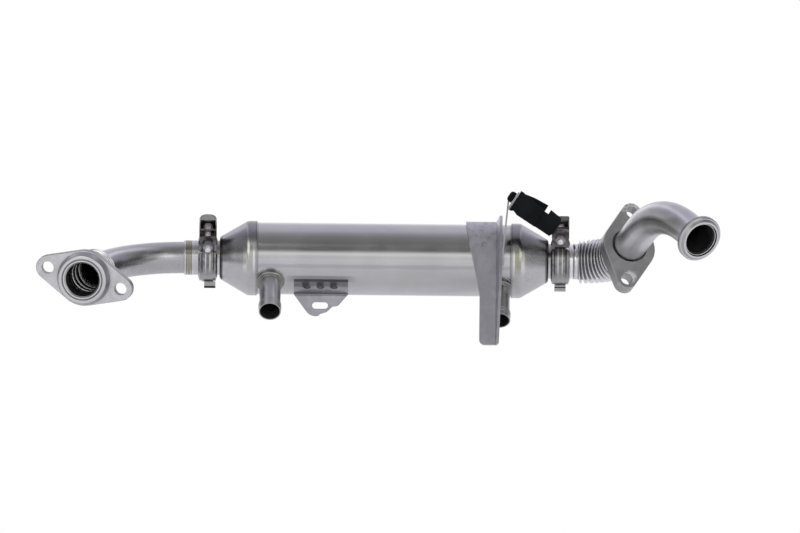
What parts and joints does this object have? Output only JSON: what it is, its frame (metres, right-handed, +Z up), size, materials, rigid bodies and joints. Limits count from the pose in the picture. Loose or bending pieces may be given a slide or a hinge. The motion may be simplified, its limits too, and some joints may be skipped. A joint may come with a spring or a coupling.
{
  "type": "exhaust gas cooler",
  "caption": "Round stainless exhaust gas cooler with conical end caps, V-band clamps, bent inlet pipe, bellows, two-bolt flanges, outlet elbow, hose nozzles and mounting brackets.",
  "frame": {"origin": "middle of the shell, on its axis", "axes": "+X along the shell from the inlet side to the outlet side, -Y to the side the flanges face, +Z up"},
  "size_m": [0.6054, 0.2035, 0.137],
  "materials": {
    "shell_steel": "satin, fine brushing round the shell",
    "cap_steel": "satin, spun",
    "pipe_steel": "satin tube with faint heat tint",
    "sleeve_steel": "satin",
    "nozzle_steel": "satin, slightly darker",
    "bellows_steel": "bright rolled sheet",
    "flange_steel": "matt, fine grain",
    "spigot_steel": "turned, matt",
    "bracket_steel": "matt sheet",
    "clamp_steel": "dark satin",
    "bolt_steel": "zinc plated",
    "core_steel": "satin",
    "gasket_graphite": "graphite coated, matt",
    "black_plastic": "moulded, matt"
  },
  "bodies": {
    "root": {"shell": "shell_steel", "left_end_cap": "cap_steel", "right_end_cap": "cap_steel", "left_pipe": "pipe_steel", "elbow_pipe": "pipe_steel", "left_sleeve": "sleeve_steel", "right_sleeve": "sleeve_steel", "left_coolant_nozzle": "nozzle_steel", "right_coolant_nozzle": "nozzle_steel", "left_nozzle_collar": "nozzle_steel", "right_nozzle_collar": "nozzle_steel", "left_bellows": "bellows_steel", "right_bellows": "bellows_steel", "left_flange": "flange_steel", "right_flange": "flange_steel", "left_spigot": "spigot_steel", "end_ring": "spigot_steel", "slotted_bracket": "bracket_steel", "support_bracket": "bracket_steel", "connector_bracket": "bracket_steel", "left_clamp_strap": "clamp_steel", "left_clamp_segment_front": "clamp_steel", "left_clamp_segment_rear": "clamp_steel", "left_clamp_saddle": "clamp_steel", "left_clamp_nut": "clamp_steel", "right_clamp_strap": "clamp_steel", "right_clamp_segment_front": "clamp_steel", "right_clamp_segment_rear": "clamp_steel", "right_clamp_saddle": "clamp_steel", "right_clamp_nut": "clamp_steel", "left_clamp_bolt": "bolt_steel", "right_clamp_bolt": "bolt_steel", "left_tube_sheet": "core_steel", "right_tube_sheet": "core_steel", "support_plate": "core_steel", "gas_tube_01": "core_steel", "gas_tube_02": "core_steel", "gas_tube_03": "core_steel", "gas_tube_04": "core_steel", "gas_tube_05": "core_steel", "gas_tube_06": "core_steel", "gas_tube_07": "core_steel", "gas_tube_08": "core_steel", "gas_tube_09": "core_steel", "gas_tube_10": "core_steel", "gas_tube_11": "core_steel", "gas_tube_12": "core_steel", "gas_tube_13": "core_steel", "gas_tube_14": "core_steel", "gas_tube_15": "core_steel", "gas_tube_16": "core_steel", "gas_tube_17": "core_steel", "gas_tube_18": "core_steel", "gas_tube_19": "core_steel", "left_joint_gasket": "gasket_graphite", "right_joint_gasket": "gasket_graphite", "connector_housing": "black_plastic", "connector_shroud": "black_plastic", "connector_clip": "black_plastic"}
  },
  "joints": []
}
